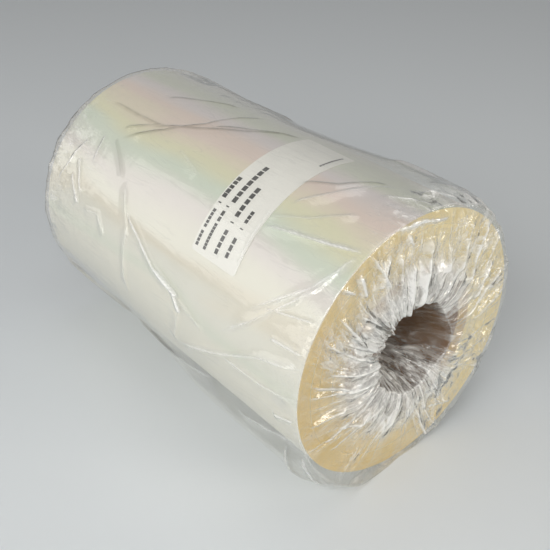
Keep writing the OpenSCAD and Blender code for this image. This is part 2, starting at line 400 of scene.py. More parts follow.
def thermal_print_material(colours):
    """Thermal print: charcoal marks that are a little patchy where the print head was cooler."""
    material, tree = new_material("label_thermal_print")
    place = add_node(tree, "ShaderNodeTexCoord").outputs["Object"]
    value = remap(tree, noise(tree, place, 400.0, 3.0)[0], 0.35, 0.7, 0.8, 2.2)
    tone = add_node(tree, "ShaderNodeHueSaturation", {"Value": value, "Color": colours.ink}).outputs[0]
    return finished(material, Base_Color=tone, Roughness=0.6, IOR=1.5)


def clear_wrap_material(colours):
    """Clear polythene film: seen through where it lies flat, bright where it is creased or its facets turn,
    partly by its own gloss and partly by painted highlights.
    """
    material, tree = new_material("wrap_clear_polythene")
    place = add_node(tree, "ShaderNodeTexCoord").outputs["Object"]
    geometry = add_node(tree, "ShaderNodeNewGeometry").outputs
    crease_highlight_and_shade = add_node(tree, "ShaderNodeAttribute", attribute_name="crease_highlight_and_shade").outputs["Fac"]
    crumple = add_node(tree, "ShaderNodeAttribute", attribute_name="crumple").outputs["Fac"]
    flat = add_node(tree, "ShaderNodeAttribute", attribute_name="flat_place").outputs["Vector"]
    drawn = stretched(tree, flat, (0.5, 1.0, 1.0))
    # flat facets of about 9, 4 and 2 mm, drawn out along the pleats: each leans its own way, and a few are
    # painted pale as painted glints
    lean = geometry["Normal"]
    pale = 0.0
    for scale, amount, share in WRAP_FACETS:
        wander = noise(tree, drawn, scale * 0.6, 0.0)[1]
        inputs = {0: wander, 1: (0.006, 0.006, 0.006), 2: drawn}
        moved = add_node(tree, "ShaderNodeVectorMath", inputs, operation="MULTIPLY_ADD").outputs[0]
        cells = add_node(tree, "ShaderNodeTexVoronoi", {"Vector": moved, "Scale": scale}).outputs["Color"]
        centred = vector_maths(tree, "SUBTRACT", cells, (0.5, 0.5, 0.5))
        inputs = {0: centred, "Scale": times(tree, crumple, amount)}
        sized = add_node(tree, "ShaderNodeVectorMath", inputs, operation="SCALE").outputs[0]
        lean = vector_maths(tree, "ADD", lean, sized)
        red = add_node(tree, "ShaderNodeSeparateColor", {0: cells}).outputs[0]
        pale = plus(tree, pale, times(tree, maths(tree, "POWER", red, 5.0), share))
    lean = vector_maths(tree, "NORMALIZE", lean)
    # fine wrinkle lines: along the sheet they are long, and round it about 3 mm apart; they bump the sheet and,
    # with the crackle lines, are painted white as painted glints
    wrinkles = noise(tree, stretched(tree, flat, (22.0, 190.0, 190.0)), 1.0, 2.0, 0.55, 0.6)[0]
    line = remap(tree, maths(tree, "ABSOLUTE", minus(tree, wrinkles, 0.5)), 0.0, 0.022, 1.0, 0.0)
    here = remap(tree, noise(tree, place, 38.0, 2.0)[0], 0.42, 0.62)
    lines = times(tree, times(tree, line, here), plus(tree, times(tree, crumple, 0.8), 0.12))
    cross = add_node(
        tree, "ShaderNodeTexVoronoi", {"Vector": place, "Scale": 300.0}, feature="DISTANCE_TO_EDGE"
    ).outputs["Distance"]
    crackled = times(tree, remap(tree, cross, 0.0, 0.05, 1.0, 0.0), crumple, 0.5)
    height = plus(tree, times(tree, lines, 0.8), wrinkles)
    normal = bumped(tree, height, 0.3, 0.0007, Normal=lean)
    # the two faces of a thin sheet together reflect about 8 percent straight on, much more at a glance, and
    # the same from behind, where the Fresnel node would turn the index over
    index = remap(tree, geometry["Backfacing"], 0.0, 1.0, SHEET_IOR, 1 / SHEET_IOR)
    gloss = times(tree, add_node(tree, "ShaderNodeFresnel", {"IOR": index, "Normal": normal}).outputs[0], 2.0)
    # the haze is the milky film where it is crumpled, and the pale facets added to it are painted glints
    thick = times(tree, maths(tree, "POWER", crumple, 2.0), 0.07)
    haze_and_glints = plus(tree, times(tree, pale, maths(tree, "POWER", crumple, 1.4)), plus(tree, thick, 0.02))
    # creases above 0 are white lines of painted highlight where folds and facets would glint, and below 0 the
    # thin dark lines of painted shade where folds turn the light away
    crests = times(tree, maths(tree, "MAXIMUM", crease_highlight_and_shade, 0.0), 0.5)
    white = plus(tree, times(tree, plus(tree, lines, crackled), 0.42), plus(tree, crests, haze_and_glints), clamp=True)
    dark = times(tree, maths(tree, "MAXIMUM", times(tree, crease_highlight_and_shade, -1.0), 0.0), 0.38)
    alpha = plus(tree, gloss, plus(tree, white, dark), clamp=True)
    share = maths(tree, "DIVIDE", dark, plus(tree, plus(tree, white, dark), 0.001))
    return finished(
        material, Base_Color=blend(tree, share, colours.clear, colours.shadow), Roughness=0.12, Alpha=alpha,
        Metallic=maths(tree, "DIVIDE", gloss, alpha, clamp=True), Normal=normal
    )


def facet_field(seed, size, cells, wander=0.34):
    """A crumpled surface of flat facets: random heights from 0 to 1 at a wandering grid of corners.

    size is the field's length along and round in millimetres, and cells the number of facets each way.
    The field repeats round the roll. It is returned as a function of places along and round."""
    rng = np.random.default_rng(seed)
    along, round_it = cells
    shift = rng.uniform(-wander, wander, (along + 1, round_it, 2))
    rise = rng.uniform(0, 1, (along + 1, round_it))
    bm = bmesh.new()
    bmesh.ops.create_grid(bm, x_segments=along, y_segments=round_it + 2, size=1)
    for vert in bm.verts:
        i = round((vert.co.x + 1) / 2 * along)
        j = round((vert.co.y + 1) / 2 * (round_it + 2))
        k = (j - 1) % round_it
        vert.co.x = (i + (shift[i, k, 0] if 0 < i < along else 0)) * size[0] / along
        vert.co.y = (j - 1 + shift[i, k, 1]) * size[1] / round_it
        vert.co.z = rise[i, k]
    bmesh.ops.triangulate(bm, faces=bm.faces[:], quad_method="SHORT_EDGE")
    tree = BVHTree.FromBMesh(bm)
    bm.free()
    down = Vector((0, 0, -1))

    def height(u, v):
        u = np.clip(u, 0.001, size[0] - 0.001)
        v = np.mod(v, size[1])
        out = np.full(u.shape, 0.5)
        for index in np.ndindex(u.shape):
            hit = tree.ray_cast(Vector((u[index], v[index], 2)), down)[0]
            if hit:
                out[index] = hit.z
        return out

    return height


# Each long fold of the body: its corners, as a share of half the roll's length and degrees round it, its height
# and half width in mm, its crest's painted highlight (below 0 a thin dark line of painted shade), and the width
# in mm of the painted highlight on its pale side
LONG_FOLDS = [
    # the folds that the photograph shows
    (((-0.28, 152), (-0.14, 158), (0.01, 166), (0.17, 170)), 1, 3, 1.1, 0.5),
    (((0.02, 166.5), (0.21, 171)), 0.8, 2, 2, 1.9), (((0.16, 169), (0.23, 177)), 0.7, 2, 1.9, 1.6),
    (((0.19, 171), (0.4, 176)), 0.5, 3, 0.3, 0.6), (((0.22, 177), (0.17, 193)), 0.6, 4, 0.3, 0.8),
    (((0.5, 127), (0.66, 124), (0.83, 121), (0.99, 117.5)), 0.6, 2.6, 1.5, 2.4),
    (((0.97, 119), (0.95, 128), (0.89, 137), (0.78, 146), (0.65, 156)), 0.6, 3, 0.8, 3),
    (((0.96, 126), (0.92, 135), (0.85, 144), (0.7, 158), (0.52, 171)), 0.6, 3, 0.6, 2.2),
    (((0.18, 193), (0.52, 180.5), (0.78, 169), (0.99, 164)), 1.1, 5, 0.6, 1.6),
    (((0.52, 181), (0.8, 180), (0.99, 176)), 0.7, 4, 0.5, 1.2),
    (((-0.61, 128), (-0.5, 134), (-0.4, 141)), 0.6, 2.4, -0.4, 0.8),
    (((-0.66, 143), (-0.69, 129)), 0.6, 2.4, 0.5, 1), (((-0.79, 151), (-0.68, 163)), 0.7, 2.4, 1.2, 0.5),
    (((-0.78, 143), (-0.67, 158)), 0.6, 2.2, 0.8, 0.4),
    (((-0.89, 158.5), (-0.83, 146), (-0.78, 134)), 0.7, 2.6, 0.6, 0.8),
    (((-0.37, 141), (-0.24, 158), (-0.22, 188)), 0.6, 3.4, 0.25, 0),
    (((-0.83, 114), (-0.61, 114), (-0.4, 113)), 0.4, 2.6, -0.4, 0),
    (((-0.61, 97), (-0.46, 89), (-0.3, 80)), 0.5, 3, -0.5, 0),
    (((-0.57, 126), (-0.38, 114), (-0.23, 102), (-0.12, 80)), 0.6, 3.2, -0.7, 0),
    (((-0.49, 116), (-0.22, 105), (-0.03, 95), (0.16, 80)), 0.6, 3.2, -0.7, 0),
    (((-0.62, 122), (-0.42, 112)), 0.5, 2.4, -0.5, 0),
    (((-0.19, 101), (-0.02, 92), (0.14, 81)), 0.6, 3.4, -0.6, 0),
    (((0.48, 105), (0.62, 98), (0.74, 84)), 0.7, 3.4, -0.6, 0),
    (((0.54, 115), (0.64, 104), (0.78, 84)), 0.7, 3.6, 0.35, 1.6),
    (((0.48, 124), (0.68, 116), (0.84, 105)), 0.6, 3.2, 0.3, 1.4),
    (((0.485, 120), (0.49, 128), (0.51, 148)), 0.3, 1.6, 0.3, 0.2),
    (((0.975, 258), (0.985, 272), (0.965, 288)), 0.8, 2, 2, 2.6),
    (((0.985, 243), (0.97, 256)), 0.6, 2, 1.8, 2),
    (((0.99, 205), (0.97, 222), (0.985, 240)), 0.6, 1.8, 0.8, 0.6),
    (((0.92, 202), (0.86, 222), (0.94, 236)), 0.6, 2.4, 0.6, 0.6),
    (((-0.2, 118), (-0.08, 121), (0.03, 124)), 0.4, 3, 0.25, 0.6),
    (((-0.63, 163), (-0.49, 161), (-0.41, 169)), 0.6, 3, 0.35, 0.6),
    (((-1, 205), (-0.7, 212), (-0.3, 206)), 0.8, 6, 0.3, 0.8),
    (((0.72, 152), (0.99, 146)), 0.6, 2.4, 0.7, 0.8), (((0.8, 160), (0.99, 158)), 0.6, 2, 0.8, 0.6),
    (((0.86, 190), (0.99, 186)), 0.7, 2.4, 0.8, 0.6), (((0.6, 205), (0.99, 196)), 0.8, 4, 0.5, 0.8),
    (((0.88, 78), (0.99, 70)), 0.8, 2.6, 1.2, 1.6), (((0.8, 92), (0.99, 84)), 0.7, 2.6, 0.7, 1),
    # and folds of the same kinds on the sides that it does not show
    (((-0.8, 40), (-0.3, 34), (0.1, 28)), 0.9, 7, 0.3, 0.8),
    (((0.1, 12), (0.5, 7), (0.9, 0)), 1, 7, 0.3, 0.8), (((-0.5, 346), (0.4, 336)), 0.8, 7, 0.3, 0),
    (((-0.5, 20), (-0.1, 15), (0.2, 5)), 0.8, 4, 0.7, 0.5), (((0.3, 30), (0.8, 18)), 0.8, 4, 0.7, 0.8),
    (((-0.9, 320), (-0.4, 330)), 0.8, 5, 0.6, 0), (((0.5, 60), (1, 48)), 0.9, 4, 0.5, 1),
    (((-0.75, 66), (-0.1, 60)), 0.6, 6, -0.4, 0),
    (((-0.95, 60), (-0.7, 48), (-0.55, 30)), 0.7, 3, 0.6, 0.6),
    (((-0.3, 208), (0.1, 204), (0.5, 196)), 0.7, 5, 0.35, 0.6),
]

# The large pleats of the near end that the photograph shows, in the same terms, but by radius and turn
END_PLEATS = [
    (((66, 85), (50, 87), (36, 93)), 2, 4, 1.5, 4.6), (((79, 104), (77, 92), (74, 76)), 1.6, 2, 1.5, 1.8),
    (((56, 96), (34, 108)), 1.2, 3, 0.9, 3.4), (((73, 99), (67, 97)), 1, 2, 1.3, 3),
    (((80, 117), (52, 115)), 1.5, 2, 1, 1.4), (((75, 124), (61, 128)), 1.2, 2, 1.3, 3),
    (((79, 132), (70, 130)), 1, 1.6, 1.1, 1.8), (((70, 110), (58, 121)), 1.2, 2, 0.9, 2),
    (((61, 168), (34, 177)), 1.3, 1.8, 1.6, 0.6), (((71, 172), (44, 184)), 1.2, 1.6, 1, 0.4),
    (((72, 177), (30, 194)), 1.3, 1.8, 0.8, 0.5), (((70, 153), (32, 169)), 1.3, 1.9, 1.1, 0.6),
    (((70, 141), (38, 157)), 1.3, 1.9, 1, 0.8), (((56, 136), (32, 133)), 1.4, 2.2, 0.9, 1.2),
    (((59, 206), (41, 231)), 1.2, 1.8, 0.9, 0.5), (((70, 206), (46, 208)), 1.1, 1.6, 0.8, 0.4),
    (((73, 192), (50, 197)), 1.1, 1.6, 0.7, 0.4), (((69, 214), (44, 222)), 1.1, 1.6, 0.7, 0.4),
    (((77, 50), (45, 32)), 1.5, 2.2, 0.9, 0.7), (((68, 29), (47, 13)), 1.4, 2, 0.9, 0.6),
    (((74, 18), (39, 4)), 1.4, 2, 0.8, 0.6), (((76, 6), (49, 355)), 1.3, 1.9, 0.8, 0.5),
    (((75, 62), (46, 50)), 1.4, 2.4, 0.6, 0.8), (((78, 38), (56, 24)), 1.3, 2, 0.7, 0.5),
    (((60, 70), (44, 66)), 1.2, 2.2, 0.5, 1), (((66, 104), (46, 110)), 1.4, 2.2, 0.8, 1.2),
    (((54, 289), (69, 304)), 1.2, 2, 0.6, 0.4), (((46, 278), (62, 282), (77, 285)), 1.4, 2.4, 0.7, 0.5),
]


def drawn_lines(u, v, lines, height):
    """(height in mm, painted highlight above 0 and painted shade below it) of folds drawn as lines, with corners
    in mm and the values of a long fold.
    """
    rise = np.zeros(u.shape)
    white = np.zeros(u.shape)
    dark = np.zeros(u.shape)
    for corners, high, half, pale, wide in lines:
        gap = np.full(u.shape, 1e9)
        part = np.zeros(u.shape)
        side = np.ones(u.shape)
        for k, (start, stop) in enumerate(zip(corners, corners[1:])):
            run = stop - start
            along = np.clip(((u - start[0]) * run[0] + (v - start[1]) * run[1]) / (run @ run), 0, 1)
            off_u, off_v = u - start[0] - along * run[0], v - start[1] - along * run[1]
            away = np.hypot(off_u, off_v)
            nearer = away < gap
            gap = np.where(nearer, away, gap)
            part = np.where(nearer, (k + along) / (len(corners) - 1), part)
            side = np.where(nearer, np.where(off_u * run[1] > off_v * run[0], 1, -1), side)
        fade = ease(-0.02, 0.16, part) * ease(1.02, 0.86, part)
        fall = np.where(side > 0, gap / half, gap / (2.2 * half))
        rise = np.maximum(rise, height * high * np.clip(1 - fall, 0, 1) ** 1.5 * fade)
        if pale < 0:
            dark = np.maximum(dark, -pale * ease(1.5, 0.2, gap) * fade)
        else:
            crest = ease(1.1, 0.1, gap)
            sheet = 0.65 * ease(1.6 * wide, 0.1, np.where(side > 0, gap, 2.2 * gap)) if wide else 0
            white = np.maximum(white, pale * np.maximum(crest, sheet) * fade)
    return rise, white - dark * (white < 0.2)


def folds_at(x, turn, sizes, wrap):
    """(height in mm, painted highlight and shade) of the long folds at places on the wrap."""
    arc = sizes.film_radius * math.pi / 180
    rise, white = np.zeros(x.shape), np.zeros(x.shape)
    for corners, *rest in LONG_FOLDS:
        first = corners[0][1]
        line = np.array([(share * HALF_W, ((at - first + 180) % 360 - 180) * arc) for share, at in corners])
        v = ((turn - first + 180) % 360 - 180) * arc
        one, pale = drawn_lines(x, v, [(line, *rest)], wrap.fold)
        rise = np.maximum(rise, one)
        white = np.where(np.abs(pale) > np.abs(white), pale, white)
    return rise, white


def gather_crest(turn, wrap):
    """(height from 0 to 1, how soon it fades to the rim) of the large gathers, as in the part's source."""
    count = wrap.gathers
    starts = 360 / count * (np.arange(count + 1) + 0.65 * chance(np.arange(count + 1) % count))
    t = (turn - starts[0]) % 360 + starts[0]
    j = np.clip(np.searchsorted(starts, t, side="right") - 1, 0, count - 1)
    part = (t - starts[j]) / (starts[j + 1] - starts[j])
    shape = np.interp(part, [0, 0.3, 0.5, 0.8, 1], [0, 0.6, 1, 0.35, 0])
    return shape * (0.4 + 0.6 * chance(j + 50)), 0.4 + 2 * chance(j + 90)


def slack_at(x, turn, crest, wrap):
    """How far the wrap's big forms stand off the roll, as in the part's source."""
    rim = ease(0.8 * HALF_W, HALF_W, x)
    near = ease(-0.45 * HALF_W, 0.3 * HALF_W, x) * (1 - 0.5 * ease(0.84 * HALF_W, HALF_W, x))
    high = ease(-0.15 * HALF_W, 0.7 * HALF_W, x) * (1 - 0.45 * ease(0.84 * HALF_W, HALF_W, x))
    low_front = wrap.sag_front * hump(apart(turn, 247 - 9 * rim), 68 - 20 * rim)
    low_back = wrap.sag_back * (1 - 0.8 * rim) * hump(apart(turn, 294), 44)
    tent = wrap.tent * hump(apart(turn, 56), 27)
    rad = np.radians(turn)
    waves = np.sin(3 * rad + np.radians(2.2 * x)) * np.sin(2 * rad - np.radians(1.3 * x))
    soft = wrap.slack * (0.5 + 0.5 * waves)
    rims = wrap.pleat * crest * (ease(0.75 * HALF_W, HALF_W, x) + ease(-0.45 * HALF_W, -HALF_W, x))
    return near * (low_front + low_back) + high * tent + soft + rims


def end_profile(sizes, wrap):
    """The wrap's line over one end: rows of how far past the film's end, radius, the way it faces, and the
    shares of gathers, slack, droop and swirl, as in the part's source."""
    bore = sizes.bore_radius
    proud = CORE_END - HALF_W
    film = sizes.film_radius
    band = film - CORE_R
    return np.array([
        [-wrap.tuck, wrap.bunch, 180, 0.3, 0, 1, 1.6],
        [-0.78 * wrap.tuck, wrap.bunch + 6, 165, 0.5, 0, 0.95, 1.5],
        [-0.5 * wrap.tuck, 0.6 * bore, 165, 0.9, 0, 0.6, 1.3],
        [-0.22 * wrap.tuck, bore - wrap.inset - 2.5, 165, 1, 0, 0.15, 1.15],
        [proud - 0.2, bore - wrap.inset / 2, 135, 1, 0, 0, 1.05],
        [proud + 0.75, bore + 2.4, 95, 1, 0, 0, 1],
        [proud + 0.45, CORE_R + 0.6, 85, 0.9, 0, 0, 0.9],
        [0.8, CORE_R + band * 0.28, 90, 0.7, 0.1, 0, 0.65],
        [0.5, CORE_R + band * 0.56, 90, 0.45, 0.2, 0, 0.35],
        [0.5, CORE_R + band * 0.8, 88, 0.25, 0.3, 0, 0.12],
        [0.5, film - 2, 80, 0.1, 0.4, 0, 0],
        [0.5, film + wrap.gap + 0.05, 45, 0, 0.8, 0, 0],
    ])


# The rows of the profile at the core's mouth and at the film's rim
MOUTH_ROW = 4
RIM_ROW = 11


def wrap_lines(sizes, wrap):
    """The wrap's profile from the near tuck to the far one: (distance along the sheet, values of each row)."""
    end = end_profile(sizes, wrap)
    near = np.column_stack([HALF_W + end[:, 0], end[:, 1:3], end[:, 3:6], wrap.swirl * end[:, 6]])
    far = near * np.array([-1, 1, -1, 1, 1, 1, -1])
    along = np.linspace(HALF_W - 3, 3 - HALF_W, 12)
    body = np.array([[x, sizes.film_radius + wrap.gap, 0, 0, 1, 0, 0] for x in along])
    rows = np.vstack([near, body, far[::-1]])
    step = np.hypot(np.diff(rows[:, 0]), np.diff(rows[:, 1]))
    return np.concatenate([[0], np.cumsum(step)]), rows


def fine_pleats(seed, edge, turn, radius, wrap, lean_share):
    """(height in mm, sharpness, later painted as highlight lines) of the fine pleats that run out from the
    core's mouth.

    edge is how far each place lies from the mouth along the sheet, in mm, and below 0 inside the core."""
    rng = np.random.default_rng(seed)
    high = np.zeros(edge.shape)
    highlight_lines = np.zeros(edge.shape)
    count = wrap.pleats
    for k in range(count * 2):
        small = k >= count
        middle = (k + rng.uniform(-0.5, 0.5)) * 360 / count
        lean = lean_share * math.cos(math.radians(middle)) + rng.normal(0, 0.14)
        reach = rng.uniform(6, 24) if small else rng.choice([rng.uniform(10, 26), rng.uniform(26, 60)])
        start = rng.uniform(-30, 0) if not small else rng.uniform(-12, 26)
        width = rng.uniform(0.7, 1.3) if small else rng.uniform(1.1, 2.9)
        rise = rng.uniform(0.2, 0.5) if small else rng.uniform(0.35, 1.0)
        side = rng.choice([-1, 1])
        bend = rng.normal(0, 0.7)
        line = middle + lean * edge + bend * np.sin(edge / 17 + k)
        away = ((turn - line + 180) % 360 - 180) * np.radians(radius) * side
        near = (away > -width * 1.1) & (away < width * 2.6) & (edge > start) & (edge < start + reach + 14)
        if not near.any():
            continue
        w = away[near]
        e = edge[near]
        shape = np.clip(1 - np.where(w < 0, -w / width, w / (2.4 * width)), 0, 1)
        fade = ease(start, start + 6, e) * ease(start + reach + 14, start + reach * 0.6, e)
        high[near] = np.maximum(high[near], rise * shape * fade)
        line_share = np.clip(1 - np.abs(w) / 0.42, 0, 1) * fade * (0.4 + 0.6 * rise)
        highlight_lines[near] = np.maximum(highlight_lines[near], line_share)
    return wrap.fine * high, highlight_lines


def near_face_forms(edge, turn, sizes, wrap):
    """(height in mm, painted highlight) of the few large pleats of the near end that the photograph shows."""
    radius = sizes.bore_radius - wrap.inset / 2 + edge
    lines = []
    for corners, *rest in END_PLEATS:
        angles = [math.radians(at) for _, at in corners]
        places = [(r * math.cos(at), r * math.sin(at)) for (r, _), at in zip(corners, angles)]
        lines.append((np.array(places), *rest))
    return drawn_lines(radius * np.cos(np.radians(turn)), radius * np.sin(np.radians(turn)), lines, wrap.fold)


def crumpling(x, turn, edge, rim, near_side, broad):
    """How crumpled each place is, then the shares of the mouth's heap, its bare wall and its inside there."""
    heap = ease(80, 40, apart(turn, HEAP_TURN)) * near_side + (1 - near_side)
    wall = ease(44, 20, apart(turn, WALL_TURN)) * near_side
    inside = ease(0, -9, edge)
    in_mouth = ease(26, 8, edge) * (1 - inside * np.clip(0.8 * (1 - heap) + 0.5 * wall, 0, 0.92))
    in_mouth = in_mouth * (1 - 0.6 * wall)
    patchy = ease(0.35, 0.75, broad)
    # on the body it is crumpled near the rims, where it is tented, and in a patch near the far end
    beyond = edge - rim
    near_rim = ease(26, 1, beyond) * (beyond > 0) + (beyond <= 0)
    near_rim = near_rim * (1 - 0.65 * hump(apart(turn, SMOOTH_RIM_TURN), 44) * near_side)
    tented = ease(56, 20, apart(turn, TENT_TURN)) * ease(0.72 * HALF_W, 0.97 * HALF_W, x)
    far_patch = ease(-0.45 * HALF_W, -0.8 * HALF_W, x) * ease(36, 12, apart(turn, FAR_PATCH_TURN))
    taut = ease(62, 25, apart(turn, TAUT_TURN)) * near_side
    on_body = near_rim * (0.4 + 0.35 * patchy) * (1 - 0.6 * taut) * np.where(near_side, 1, 0.5)
    on_body = np.clip(on_body + 0.5 * tented + 0.35 * far_patch, 0, 1)
    on_face = (0.4 + 0.42 * patchy) * (1 - 0.5 * taut)
    over_face = ease(rim + 4, rim - 4, edge)
    on_end = np.maximum(on_face * over_face * (1 - 0.85 * inside), in_mouth)
    return np.clip(np.where(beyond > 0, on_body, on_end), 0.05, 1), heap, wall, inside


def wrap_surface(sizes, wrap):
    """The fine sheet of the wrap over rings and sides.

    Points in mm, unrolled places, creases from -1 to 2 (painted highlight above 0 and painted shade below it),
    crumpling from 0 to 1, and where it is parted."""
    lengths, rows = wrap_lines(sizes, wrap)
    mouth_near, rim_near = lengths[MOUTH_ROW], lengths[RIM_ROW]
    mouth_far, rim_far = lengths[-1 - MOUTH_ROW], lengths[-1 - RIM_ROW]
    marks = (0, mouth_near - 30, rim_near + 20, rim_far - 12, lengths[-1])
    places = np.concatenate([
        np.linspace(start, stop, count, endpoint=stop == lengths[-1])
        for start, stop, count in zip(marks, marks[1:], RINGS)
    ])
    values = np.column_stack([np.interp(places, lengths, rows[:, k]) for k in range(7)])
    # the way the sheet faces turns softly from one row of the profile to the next
    soft = np.ones(7) / 7
    values[3:-3, 2] = np.convolve(values[:, 2], soft, "valid")
    turns = np.arange(wrap.sides) * 360 / wrap.sides
    s, turn = np.meshgrid(places, turns, indexing="ij")
    x, r, faces, gather, slack, droop, swirl = (np.repeat(v[:, None], wrap.sides, 1) for v in values.T)
    crest, fade = gather_crest(turn, wrap)
    turn_at = turn + swirl
    near_side = s < (rim_near + rim_far) / 2
    edge = np.where(near_side, s - mouth_near, mouth_far - s)
    rim = rim_near - mouth_near
    on_end = ease(rim + 1.5, rim - 1.5, edge)
    over_face = ease(rim + 4, rim - 4, edge)

    # random facets of five sizes: the long and the narrow ones lean with the gathers of the near end
    girth = 2 * math.pi * sizes.film_radius
    v = turn / 360 * girth
    lean = PLEAT_LEAN * np.cos(np.radians(turn_at)) * np.clip(edge, 0, rim) * near_side
    v_lean = (turn - lean) / 360 * girth
    broad, small, long_bits, tiny, pleat_bits = (
        facet_field(wrap.seed + k, (lengths[-1], girth), cells, wander)(s, v_lean if leans else v)
        for k, (cells, wander, leans) in enumerate(FACETS)
    )
    crumple, heap, wall, inside = crumpling(x, turn_at, edge, rim, near_side, broad)

    # the near lip stands in over the bore, but low at the back the wrap goes straight over the card's edge
    lip = ease(0, 40, np.minimum(apart(turn_at, LOW_LIP_TURN), 60)) * near_side + 0.4 * (1 - near_side)
    lip = lip * (1 - 0.55 * hump(apart(turn_at, 282), 44))
    r = r - wrap.lip * lip * ease(11, -1, edge) * ease(-44, -16, edge)

    folds, highlight_lines = folds_at(x, turn_at, sizes, wrap)
    folds = folds * (1 - on_end)
    highlight_lines = highlight_lines * (1 - on_end) * (0.55 + 0.45 * ease(0.2, 0.7, small))
    pleats_near = fine_pleats(wrap.seed + 10, edge, turn_at, np.maximum(r, 10), wrap, PLEAT_LEAN)
    pleats_far = fine_pleats(wrap.seed + 20, edge, turn_at, np.maximum(r, 10), wrap, 0)
    pleat_h = np.where(near_side, pleats_near[0], pleats_far[0])
    pleat_highlight = np.where(near_side, pleats_near[1], pleats_far[1])
    form_h, form_highlight = near_face_forms(edge, turn_at, sizes, wrap)
    form_h = form_h * near_side * over_face
    form_highlight = form_highlight * near_side * over_face * ease(0.05, 0.75, tiny)

    loose = ease(-2, -26, edge) * (1 - 0.7 * wall)
    off = (
        np.power(np.clip(gather, 0, 1), fade) * wrap.gather * crest
        + slack * slack_at(x, turn_at, crest, wrap)
        + folds + pleat_h * ease(rim + 16, rim - 6, edge) + form_h
        + wrap.crumple * crumple
        * (0.6 * small + 0.45 * long_bits + 0.25 * tiny + 0.4 * pleat_bits * over_face)
        + wrap.crumple * (0.12 * broad + 0.05 * small) * (1 - crumple)
        + loose * (4.5 * (long_bits - 0.3) + 3.0 * (broad - 0.4) + 1.6 * (small - 0.4))
    )
    facing = np.radians(faces)
    out_r = np.maximum(r + off * np.cos(facing), 3.0)
    px = x + off * np.sin(facing)
    angle = np.radians(turn_at)
    points = np.stack([px, out_r * np.cos(angle), AXIS_H - wrap.droop * droop + out_r * np.sin(angle)], -1)
    points[..., 2] = np.maximum(points[..., 2], FLOOR_GAP)

    # creases, painted as highlight lines: where the sheet bends, along the drawn folds and pleats, and a veil on
    # the ring and the heap that is partly the haze of bunched film and partly painted glints
    bent = np.where(points[..., 2] < 0.5, 0, creases(points))
    pleat_highlight = pleat_highlight * (0.45 + 0.55 * ease(4, 16, edge)) * (1 - 0.6 * wall * ease(12, 4, edge))
    crease_highlight_and_shade = np.clip(bent + highlight_lines + 0.9 * pleat_highlight * over_face + form_highlight, -1, 2)
    ring = ease(-6, 0, edge) * ease(34, 8, edge) * (1 - 0.85 * wall)
    crease_highlight_and_shade = np.clip(crease_highlight_and_shade + ring * (0.35 + 0.3 * pleat_bits * pleat_bits + 0.4 * tiny * small)
                     + 1.1 * inside * heap * (0.3 + tiny) * small * near_side, -1, 2)
    reach = (sizes.film_radius + np.clip(r, 20, sizes.film_radius)) / 2
    flat = np.stack([s, reach * np.cos(np.radians(turn)), reach * np.sin(np.radians(turn))], -1)
    near_rings = RINGS[0] + RINGS[1]
    cuts = (0, near_rings, near_rings + RINGS[2] // 2, near_rings + RINGS[2], sum(RINGS) - 1)
    return points, flat, crease_highlight_and_shade, crumple, cuts


def bends(behind, here, ahead):
    """How sharply lines of points bend, however the points are spaced."""
    run = ahead - behind
    length = np.linalg.norm(run, axis=-1, keepdims=True) + 0.05
    out = ahead + behind - 2 * here
    out = out - np.sum(out * run, axis=-1, keepdims=True) / length ** 2 * run
    return np.linalg.norm(out, axis=-1) / length[..., 0]


def creases(points):
    """How sharply the sheet bends at each point, from 0 to 1."""
    bend = bends(np.roll(points, 1, 1), points, np.roll(points, -1, 1))
    along = np.zeros(bend.shape)
    along[1:-1] = bends(points[:-2], points[1:-1], points[2:])
    return np.clip(1.3 * np.maximum(bend, along) - 0.14, 0, 0.8)


def sheet_normals(points):
    """The way the sheet faces at each point, from its neighbours."""
    round_it = np.roll(points, -1, 1) - np.roll(points, 1, 1)
    along = np.zeros(points.shape)
    along[1:-1] = points[2:] - points[:-2]
    along[0], along[-1] = points[1] - points[0], points[-1] - points[-2]
    normal = np.cross(along, round_it)
    return normal / (np.linalg.norm(normal, axis=-1, keepdims=True) + 1e-12)


def sheet_piece(name, rows, points, flat, crease_highlight_and_shade, crumple, normals, material):
    """One part of the wrap as a closed band of faces, with its creases, crumpling and unrolled places."""
    first, last = rows
    sides = crease_highlight_and_shade.shape[1]
    bm = bmesh.new()
    bmesh.ops.create_grid(bm, x_segments=last - first, y_segments=sides, size=1)
    crease_layer = bm.verts.layers.float.new("crease_highlight_and_shade")
    crumple_layer = bm.verts.layers.float.new("crumple")
    flat_layer = bm.verts.layers.float_vector.new("flat_place")
    ring_layer = bm.verts.layers.int.new("ring")
    side_layer = bm.verts.layers.int.new("side")
    seam = []
    for vert in bm.verts:
        i = first + round((vert.co.x + 1) / 2 * (last - first))
        j = round((vert.co.y + 1) / 2 * sides)
        if j in (0, sides):
            seam.append(vert)
            j = 0
        vert.co = Vector(points[i, j]) * MM
        vert[crease_layer] = crease_highlight_and_shade[i, j]
        vert[crumple_layer] = crumple[i, j]
        vert[flat_layer] = Vector(flat[i, j]) * MM
        vert[ring_layer], vert[side_layer] = i, j
    bmesh.ops.remove_doubles(bm, verts=seam, dist=1e-7)
    piece = new_piece(bm, name, material)
    mesh = piece.data
    ring = np.zeros(len(mesh.vertices), int)
    side = np.zeros(len(mesh.vertices), int)
    mesh.attributes["ring"].data.foreach_get("value", ring)
    mesh.attributes["side"].data.foreach_get("value", side)
    mesh.normals_split_custom_set_from_vertices(normals[ring, side])
    mesh.attributes.remove(mesh.attributes["ring"])
    mesh.attributes.remove(mesh.attributes["side"])
    return piece


